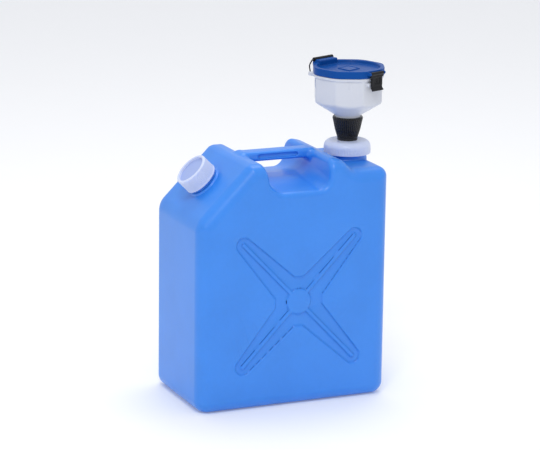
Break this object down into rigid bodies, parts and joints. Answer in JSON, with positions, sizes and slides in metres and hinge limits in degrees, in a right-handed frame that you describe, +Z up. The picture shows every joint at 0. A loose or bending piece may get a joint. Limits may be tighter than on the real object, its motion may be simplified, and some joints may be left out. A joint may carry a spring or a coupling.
{
  "type": "jerry can",
  "caption": "Flat blow-moulded jerry can with a top carrying handle, a sloping pour neck, an upright filler neck and a lidded, latched filling funnel.",
  "frame": {"origin": "on the ground under the middle of the can's base", "axes": "+X along the can's width towards the upright filler neck, -Y out of the front face, +Z up"},
  "size_m": [0.3786, 0.206, 0.5703],
  "materials": {
    "can_plastic": "satin blow-moulded polyethylene, mid blue",
    "cap_plastic": "milky translucent polyethylene, satin",
    "funnel_plastic": "white polyethylene, satin",
    "lid_plastic": "dark blue injection-moulded plastic, semi-gloss",
    "black_plastic": "black moulded plastic, satin",
    "black_wire": "black coated steel wire",
    "pin_steel": "drawn steel pin",
    "seal_rubber": "dark soft rubber",
    "washer_plastic": "natural nylon",
    "label_film": "printed film label, blue over white, blank"
  },
  "bodies": {
    "can": {"can_body": "can_plastic"},
    "pour_cap_lift": {"pour_cap_gasket": "seal_rubber"},
    "pour_cap": {"pour_cap": "cap_plastic"},
    "filler_cap_lift": {"filler_cap_gasket": "seal_rubber"},
    "filler_cap": {"filler_cap": "cap_plastic", "adapter_spigot": "black_plastic", "adapter_lock_nut": "black_plastic", "lock_nut_washer": "washer_plastic"},
    "funnel_lift": {"collar_gasket": "seal_rubber"},
    "funnel": {"funnel_collar": "black_plastic", "funnel_bowl": "funnel_plastic", "funnel_stem": "funnel_plastic", "stem_o_ring": "seal_rubber", "strainer": "funnel_plastic", "funnel_label": "label_film", "hinge_bail": "black_wire"},
    "lid": {"lid": "lid_plastic", "lid_gasket": "seal_rubber", "hinge_sleeve": "black_plastic", "latch_pin": "pin_steel"},
    "latch": {"latch_clip": "black_plastic"}
  },
  "joints": [
    {"name": "pour_cap_lift", "type": "slide", "parent": "can", "child": "pour_cap_lift", "axis": [-0.7071, 0, 0.7071], "range_m": [0, 0.0201]},
    {"name": "pour_cap_turn", "type": "hinge", "parent": "pour_cap_lift", "child": "pour_cap", "pos_m": [-0.125, 0, 0.378], "axis": [-0.7071, 0, 0.7071], "range_deg": [0, 1200]},
    {"name": "filler_cap_lift", "type": "slide", "parent": "can", "child": "filler_cap_lift", "axis": [0, 0, 1], "range_m": [0, 0.0201]},
    {"name": "filler_cap_turn", "type": "hinge", "parent": "filler_cap_lift", "child": "filler_cap", "pos_m": [0.14, 0, 0.42], "axis": [0, 0, 1], "range_deg": [0, 1200]},
    {"name": "funnel_lift", "type": "slide", "parent": "filler_cap", "child": "funnel_lift", "axis": [0, 0, 1], "range_m": [0, 0.0181]},
    {"name": "funnel_turn", "type": "hinge", "parent": "funnel_lift", "child": "funnel", "pos_m": [0.14, 0, 0.455], "axis": [0, 0, 1], "range_deg": [0, 1620]},
    {"name": "lid_hinge", "type": "hinge", "parent": "funnel", "child": "lid", "pos_m": [0.11715, 0.05656, 0.567], "axis": [-0.9272, -0.3746, 0], "range_deg": [0, 108]},
    {"name": "latch_pivot", "type": "hinge", "parent": "lid", "child": "latch", "pos_m": [0.1645, -0.06064, 0.5575], "axis": [-0.9272, -0.3746, 0], "range_deg": [0, 95]}
  ],
  "couplings": [
    {"joint": "pour_cap_lift", "follows": "pour_cap_turn", "m_per_rad": 0.00095493},
    {"joint": "filler_cap_lift", "follows": "filler_cap_turn", "m_per_rad": 0.00095493},
    {"joint": "funnel_lift", "follows": "funnel_turn", "m_per_rad": 0.00063662}
  ]
}
